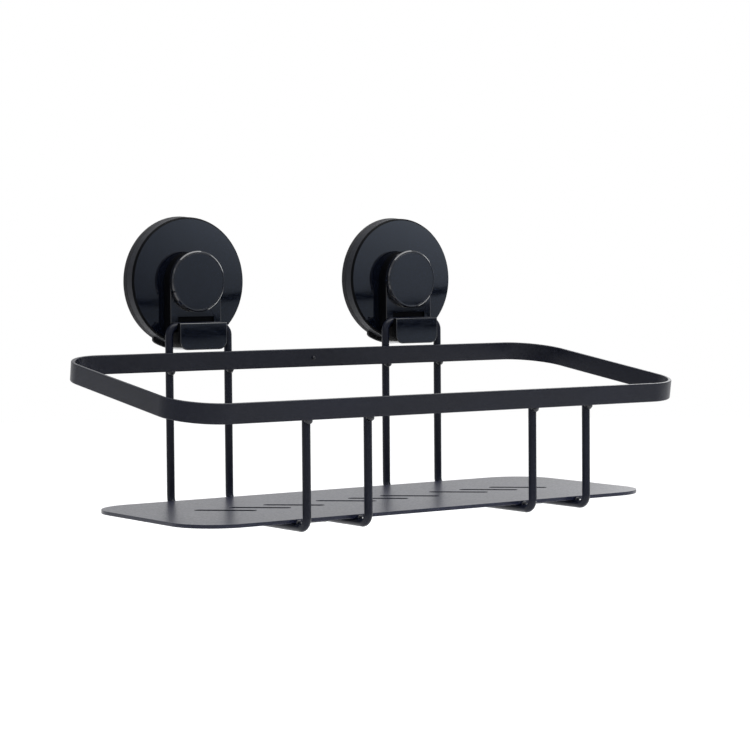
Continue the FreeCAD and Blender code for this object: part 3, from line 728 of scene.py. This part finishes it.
def make_shelf():
    """Sheet steel with nine slanting slots and softened edges."""
    low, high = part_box("shelf_plate")
    size, centre = high - low, (low + high) / 2
    loops = [rounded_rectangle(size.x, size.y, SHELF_CORNER, 0, 0)]
    loops += [slot_loop(group * SLOT_GROUP_PITCH + slot * SLOT_PITCH)
              for group in (-1, 0, 1) for slot in (-1, 0, 1)]
    shelf = as_object("shelf", plate_with_holes(loops, size.z), centre)
    keep_piece(shelf, "basket", "powder_coat", ["shelf_plate"], SHEEN_SHELF_COAT, COAT)
    # the slots' walls take the plain coat, darker than the shelf's lit copy, as painted shade inside the
    # slots
    for polygon in shelf.data.polygons:
        offset = polygon.center - centre
        is_inner = abs(offset.y) < SLOT_LENGTH / 2 and abs(offset.x) < size.x / 2 - SHELF_CORNER
        polygon.material_index = 1 if is_inner and abs(polygon.normal.z) < WALL_RISE else 0


# --- the welds ------------------------------------------------------------------------------------

def solid_boxes(node):
    """The box of each separate solid in a CAD node's mesh, in order of their middles."""
    shape = bmesh.new()
    shape.from_mesh(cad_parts[node].data)
    bmesh.ops.remove_doubles(shape, verts=shape.verts, dist=SAME_POINT)
    left_over = set(shape.verts)
    boxes = []
    while left_over:
        stack = [left_over.pop()]
        island = []
        while stack:
            vertex = stack.pop()
            island.append(vertex.co.copy())
            for edge in vertex.link_edges:
                other = edge.other_vert(vertex)
                if other in left_over:
                    left_over.remove(other)
                    stack.append(other)
        boxes.append(extent(island))
    shape.free()
    return sorted(boxes, key=lambda box: tuple(round(value, BEAD_PLACE_DIGITS)
                                               for value in (box[0] + box[1]) / 2))


def make_welds(name, node):
    """All the beads of one CAD node, each as a rippled lump in its solid's box."""
    shape = bmesh.new()
    for number, (low, high) in enumerate(solid_boxes(node)):
        centre, reach = (low + high) / 2, high - low
        shift = Vector([number * step for step in RIPPLE_SHIFT])
        lump = bmesh.ops.create_icosphere(shape, subdivisions=BEAD_FINENESS, radius=1)
        for vertex in lump["verts"]:
            direction = vertex.co.normalized()
            scale = BEAD_SIZE + BEAD_RIPPLE * noise.noise(direction * RIPPLE_SCALE + shift)
            vertex.co = centre + Vector([direction[axis] * reach[axis] / 2 * scale
                                         for axis in range(3)])
    keep_piece(as_object(name, shape), "basket", "powder_coat", [node], WELD)


# --- the suction cups -----------------------------------------------------------------------------

def make_pad(side, place):
    """The rubber pad: a flat sealing face, a thick edge and a ribbed tab to peel it off with."""
    pad = as_object(f"{side}_pad", turned(rounded_profile(PAD_PROFILE)), place)
    tab = as_object(f"{side}_pad_tab", pull_tab(), place)
    combine(pad, tab, "UNION")
    keep_piece(pad, "wall_cups", "pad_rubber", [f"{side}_suction_pad"], RUBBER)


def pull_tab():
    """A rounded tongue below the pad, with grip ribs across its front."""
    loops = []
    half_angle = math.asin(TAB_HALF_WIDTH / TAB_REACH)
    for step in range(TAB_STEPS + 1):
        share = step / TAB_STEPS * 2 - 1
        angle = -math.pi / 2 + half_angle * share
        ends = max(0.0, abs(share) - (1 - TAB_CORNER_SHARE)) / TAB_CORNER_SHARE
        outer = TAB_REACH - TAB_CORNER * (1 - math.sqrt(max(0.0, 1 - ends * ends)))
        wave = max(0.0, math.cos(share * math.pi * RIB_WAVES)) if abs(share) < RIB_SHARE else 0.0
        front = TAB_FRONT - RIB_HEIGHT * wave ** 2
        section = rounded_path([(TAB_ROOT, TAB_BACK, 0), (outer, TAB_BACK, 0), (outer, front, 0),
                                (TAB_ROOT, front, 0)], TAB_ROUND, TAB_EDGE_STEPS, closed=True)
        loops.append([Vector((point.x * math.cos(angle), point.y, point.x * math.sin(angle))) * MM
                      for point in section])
    return loft(loops)


def make_pad_centre(side, place):
    """The pad's moulded centre, pierced for the stud."""
    centre = as_object(f"{side}_centre", turned(rounded_profile(PAD_CENTRE_PROFILE)), place)
    keep_piece(centre, f"{side}_stud_group", "pad_rubber", [f"{side}_pad_centre"], RUBBER)


def make_cover(side, place):
    """The hollow cover: a grained side band, a fine groove, and a polished, slightly domed face."""
    radii = [DOME_RADIUS - DOME_RUN * step / DOME_STEPS for step in range(1, DOME_STEPS)]
    dome = [(radius, DOME_DEPTH + DOME_RISE * (radius / DOME_RADIUS) ** 2, 0.0) for radius in radii]
    profile = rounded_profile(COVER_SIDE + dome + COVER_INSIDE)
    cover = as_object(f"{side}_cover", turned(profile, FACE_STEPS), place)
    keep_piece(cover, "wall_cups", "gloss_plastic", [f"{side}_cover_disc"], GLOSS, SATIN, SHADE_PLASTIC)
    # the groove takes the darker plastic, as painted shade in the gap; the band takes the grained plastic
    # and the face the gloss
    for polygon in cover.data.polygons:
        offset = polygon.center - place
        is_band = offset.xz.length > BAND_RADIUS
        is_groove = offset.xz.length > GROOVE_RADIUS and offset.y < GROOVE_BACK
        polygon.material_index = 2 if is_groove else 1 if is_band else 0


def arch(inset, depth):
    """The housing's outline: a half circle over two upright sides."""
    radius = HOUSING_HALF_WIDTH - inset
    bottom = HOUSING_LOW + inset
    points = [Vector((radius * math.cos(math.pi * step / ARCH_STEPS), depth,
                      radius * math.sin(math.pi * step / ARCH_STEPS))) for step in range(ARCH_STEPS + 1)]
    corners = [(-radius, 0), (-radius, bottom), (radius, bottom), (radius, 0)]
    for (x, z), (next_x, next_z) in zip(corners, corners[1:]):
        for step in range(1, ARCH_SIDE_STEPS + 1):
            share = step / ARCH_SIDE_STEPS
            points.append(Vector((x + (next_x - x) * share, depth, z + (next_z - z) * share)))
    return points[:-1]


def on_circle(outline, radius, depth):
    """A circle whose points face those of an outline."""
    points = []
    for point in outline:
        direction = Vector((point.x, 0, point.z)).normalized()
        points.append(Vector((direction.x * radius, depth, direction.z * radius)))
    return points


def make_bracket(side, place):
    """The housing behind the knob and the hook below it, in one moulding."""
    loops = [on_circle(arch(0, HOUSING_BACK), STUD_HOLE, HOUSING_BACK),
             arch(HOUSING_BACK_EDGE, HOUSING_BACK), arch(0, HOUSING_BACK - HOUSING_BACK_EDGE)]
    for step in range(EDGE_STEPS + 1):
        angle = math.pi / 2 * step / EDGE_STEPS
        loops.append(arch(HOUSING_ROUND * (1 - math.cos(angle)),
                          HOUSING_FRONT + HOUSING_ROUND * (1 - math.sin(angle))))
    outline = arch(HOUSING_ROUND, HOUSING_FRONT)
    loops += [on_circle(outline, radius, depth)
              for radius, depth in ((SOCKET_MOUTH, HOUSING_FRONT),
                                    (SOCKET_RADIUS, HOUSING_FRONT + SOCKET_EDGE),
                                    (SOCKET_RADIUS, SOCKET_FLOOR), (STUD_HOLE, SOCKET_FLOOR))]
    bracket = as_object(f"{side}_bracket", loft(loops, ring=True), place)
    combine(bracket, as_object(f"{side}_recess_tool", recess_shape(), place), "DIFFERENCE")
    combine(bracket, as_object(f"{side}_hook_part", hook_shape(), place), "UNION")
    keep_piece(bracket, "wall_cups", "gloss_plastic", [f"{side}_hook_bracket"], GLOSS, SHADE_PLASTIC)
    # the housing's sides, the hook's sides and the recess floor take the darker plastic, as painted shade
    for polygon in bracket.data.polygons:
        offset = polygon.center - place
        is_side = abs(polygon.normal.y) < SIDE_NORMAL and offset.y > HOUSING_SIDE_FRONT
        is_hook_side = abs(polygon.normal.x) > HOOK_SIDE_NORMAL
        in_recess = (abs(offset.x) < RECESS_HALF_WIDTH
                     and abs(offset.y - RECESS_FLOOR) < RECESS_MARGIN)
        polygon.material_index = 1 if is_side or is_hook_side or in_recess else 0


def recess_shape():
    """The space of the shallow recess in the housing's front, where the wire drops in."""
    outline = [(-RECESS_HALF_WIDTH, RECESS_FLOOR, RECESS_LOW), (RECESS_HALF_WIDTH, RECESS_FLOOR, RECESS_LOW),
               (RECESS_HALF_WIDTH, RECESS_FLOOR, RECESS_TOP), (-RECESS_HALF_WIDTH, RECESS_FLOOR, RECESS_TOP)]
    return prism(outline, Vector((0, -RECESS_CUT, 0)))


def hook_shape():
    """The hook: a groove for the wire behind an upright lip, with broad lower corners."""
    low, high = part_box("left_hook_bracket")
    bottom, lip_front, back = low.z, low.y, high.y - HOOK_BACK_GAP
    lip_back = lip_front + LIP_THICKNESS
    side_view = [(back, bottom), (lip_front, bottom), (lip_front, LIP_TOP), (lip_back, LIP_TOP),
                 (lip_back, HOOK_GROOVE), (back, HOOK_GROOVE)]
    shape = prism([(-HOOK_HALF_WIDTH, y, z) for y, z in side_view], Vector((HOOK_HALF_WIDTH * 2, 0, 0)))
    lower_corners = [edge for edge in shape.edges
                     if all(abs(vertex.co.z - bottom) < SAME_PLACE for vertex in edge.verts)
                     and abs(edge.verts[0].co.x - edge.verts[1].co.x) < SAME_PLACE]
    soften(shape, lower_corners, *HOOK_CORNER)
    front_edges = [edge for edge in sharp_edges(shape)
                   if all(vertex.co.y < lip_front + SAME_PLACE for vertex in edge.verts)]
    soften(shape, front_edges, *LIP_EDGE)
    soften(shape, sharp_edges(shape), *HOOK_EDGE)
    return shape


def make_knob(side, place):
    """The knob: a broad bevelled disc on a hub, open in front for its cap."""
    knob = as_object(f"{side}_turning_knob", turned(rounded_profile(KNOB_PROFILE), DISC_STEPS), place)
    keep_piece(knob, f"{side}_knob_group", "gloss_plastic", [f"{side}_knob"], GLOSS)


def make_cap(side, place):
    """The flat disc in the knob's front, with a hairline gap round it."""
    shape = turned(rounded_profile(CAP_PROFILE), DISC_STEPS, ring=False)
    cap = as_object(f"{side}_face_cap", shape, place)
    keep_piece(cap, f"{side}_knob_group", "gloss_plastic", [f"{side}_knob_cap"], GLOSS)


def hexagon_loop(depth, round_limit):
    """The nut's hexagon, with corners turned down to a round."""
    half_side = math.pi / 6
    loop = []
    for point in circle(1, depth, NUT_STEPS):
        angle = math.atan2(point.z, point.x)
        turn = (angle + half_side) % (half_side * 2) - half_side
        flat = NUT_CORNER * math.cos(half_side) / math.cos(half_side - abs(turn))
        reach = min(flat, round_limit)
        loop.append(Vector((math.cos(angle) * reach, depth, math.sin(angle) * reach)))
    return loop


def make_nut(side, place):
    """The hexagonal insert in the knob, with turned-down corners and a countersunk bore."""
    loops = [circle(NUT_MOUTH, NUT_BACK, NUT_STEPS), hexagon_loop(NUT_BACK, NUT_TURNED_DOWN),
             hexagon_loop(NUT_BACK - NUT_CORNER_FALL, NUT_CORNER),
             hexagon_loop(NUT_FRONT + NUT_CORNER_FALL, NUT_CORNER),
             hexagon_loop(NUT_FRONT, NUT_TURNED_DOWN), circle(NUT_MOUTH, NUT_FRONT, NUT_STEPS),
             circle(NUT_BORE, NUT_FRONT + NUT_MOUTH_DEPTH, NUT_STEPS),
             circle(NUT_BORE, NUT_BACK - NUT_MOUTH_DEPTH, NUT_STEPS)]
    nut = as_object(f"{side}_insert_nut", loft(loops, ring=True), place)
    keep_piece(nut, f"{side}_knob_group", "plated_steel", [f"{side}_knob_nut"], STEEL)


def thread_loop(depth):
    """One row round the thread, whose ridge climbs by the pitch in each turn."""
    taper = min(1.0, (depth - THREAD_END) / TIP_LENGTH)
    size = TIP_SIZE + (1 - TIP_SIZE) * taper
    loop = []
    for step in range(STUD_STEPS):
        angle = math.tau * step / STUD_STEPS
        phase = (-depth / THREAD_PITCH + step / STUD_STEPS) % 1
        ridge = min(1.0, abs(phase * 2 - 1) * THREAD_FLANK)
        radius = (THREAD_ROOT + (THREAD_CREST - THREAD_ROOT) * ridge) * size
        loop.append(Vector((radius * math.cos(angle), depth, radius * math.sin(angle))))
    return loop


def make_stud(side, place):
    """The threaded stud, with the round plate that is moulded into the pad's centre."""
    loops = [circle(PLATE_RADIUS, PLATE_BACK, STUD_STEPS), circle(PLATE_RADIUS, PLATE_FRONT, STUD_STEPS)]
    loops += [thread_loop(THREAD_START + (THREAD_END - THREAD_START) * row / THREAD_ROWS)
              for row in range(THREAD_ROWS + 1)]
    stud = as_object(f"{side}_threaded_stud", loft(loops), place)
    keep_piece(stud, f"{side}_stud_group", "plated_steel", [f"{side}_stud"], STEEL)


make_rim()
make_shelf()
make_welds("rim_welds", "rim_weld_beads")
make_welds("shelf_welds", "shelf_weld_beads")
make_welds("seam_weld", "rim_seam_weld")
for side in ("left", "right"):
    make_wire_frame(side)
    make_crossbar(side)
    cup_place = Vector((middle(f"{side}_cover_disc").x, 0, 0))
    for make in (make_pad, make_pad_centre, make_cover, make_bracket, make_knob, make_cap, make_nut,
                 make_stud):
        make(side, cup_place)


# --- the room -------------------------------------------------------------------------------------

def make_floor():
    """A round pale floor well below the caddy, which hangs."""
    top = CAD_BOX[0].z - FLOOR_DROP
    loops = [[Vector((FLOOR_RADIUS * math.cos(math.tau * step / CIRCLE_STEPS),
                      FLOOR_RADIUS * math.sin(math.tau * step / CIRCLE_STEPS), height))
              for step in range(CIRCLE_STEPS)] for height in (top - FLOOR_THICKNESS, top)]
    floor = as_object("floor", loft(loops))
    floor.data.materials.append(floor_paper())


def make_lights():
    centre = (CAD_BOX[0] + CAD_BOX[1]) / 2
    for name, place, target, width, height, power in LIGHTS:
        light = bpy.data.lights.new(name, "AREA")
        light.shape = "RECTANGLE"
        light.size = width
        light.size_y = height
        light.energy = power
        holder = bpy.data.objects.new(name, light)
        holder.location = centre + Vector(place)
        holder.rotation_euler = (Vector(target) - Vector(place)).to_track_quat("-Z", "Y").to_euler()
        bpy.context.scene.collection.objects.link(holder)


def make_world():
    """A white backdrop and sky over a dimmer room, with a grey patch in front that shows in the gloss."""
    world = bpy.data.worlds.new("studio")
    world.use_nodes = True
    tree = world.node_tree
    direction = tree.nodes.new("ShaderNodeTexCoord").outputs["Generated"]

    def towards(vector, from_range, to_range=(0, 1), kind="SMOOTHSTEP"):
        """How far each direction points along a vector, mapped to a range."""
        facing = tree.nodes.new("ShaderNodeVectorMath")
        facing.operation = "DOT_PRODUCT"
        facing.inputs[1].default_value = vector
        tree.links.new(direction, facing.inputs[0])
        node = tree.nodes.new("ShaderNodeMapRange")
        node.interpolation_type = kind
        set_inputs(node, ("From Min", "From Max", "To Min", "To Max"), from_range + to_range)
        tree.links.new(facing.outputs["Value"], node.inputs["Value"])
        return node.outputs["Result"]

    level = mixed(tree, towards(VIEW_FORWARD, BACKDROP_EDGE), ROOM_COLOUR, SKY_COLOUR)
    surround = mixed(tree, towards((0, 0, 1), SKY_EDGE), level, SKY_COLOUR)
    middle_rise = PATCH_SLOPE * PATCH_FACING[0]
    rise = towards((PATCH_SLOPE, 0, 1), (middle_rise - PATCH_REACH, middle_rise + PATCH_REACH),
                   kind="LINEAR")
    shades = colour_ramp(tree, rise, [(position, tuple(shade * part for part in PATCH_TINT))
                                      for position, shade in PATCH_SHADES])
    patch = tree.nodes.new("ShaderNodeVectorMath")
    patch.operation = "SCALE"
    tree.links.new(shades, patch.inputs["Vector"])
    tree.links.new(towards((1, 0, 0), PATCH_SIDES, PATCH_STRENGTHS, "LINEAR"), patch.inputs["Scale"])
    colour = mixed(tree, towards(PATCH_FACING, PATCH_EDGE), surround, patch.outputs["Vector"])
    tree.links.new(colour, tree.nodes["Background"].inputs["Color"])
    bpy.context.scene.world = world


def make_camera():
    """The viewing angle of the photograph: from the front left, nearly level."""
    camera = bpy.data.cameras.new("camera")
    camera.sensor_width = CAMERA_SENSOR
    camera.lens = CAMERA_LENS
    camera.clip_start = CAMERA_NEAR
    camera.clip_end = CAMERA_FAR
    holder = bpy.data.objects.new("camera", camera)
    holder.location = CAMERA_PLACE
    level = Vector(VIEW_FORWARD).to_track_quat("-Z", "Y")
    roll = Quaternion((0, 0, 1), CAMERA_ROLL)
    holder.rotation_euler = (level @ roll).to_euler()
    bpy.context.scene.collection.objects.link(holder)
    bpy.context.scene.camera = holder


make_floor()
make_lights()
make_world()
make_camera()
bpy.context.scene.view_settings.view_transform = "Standard"
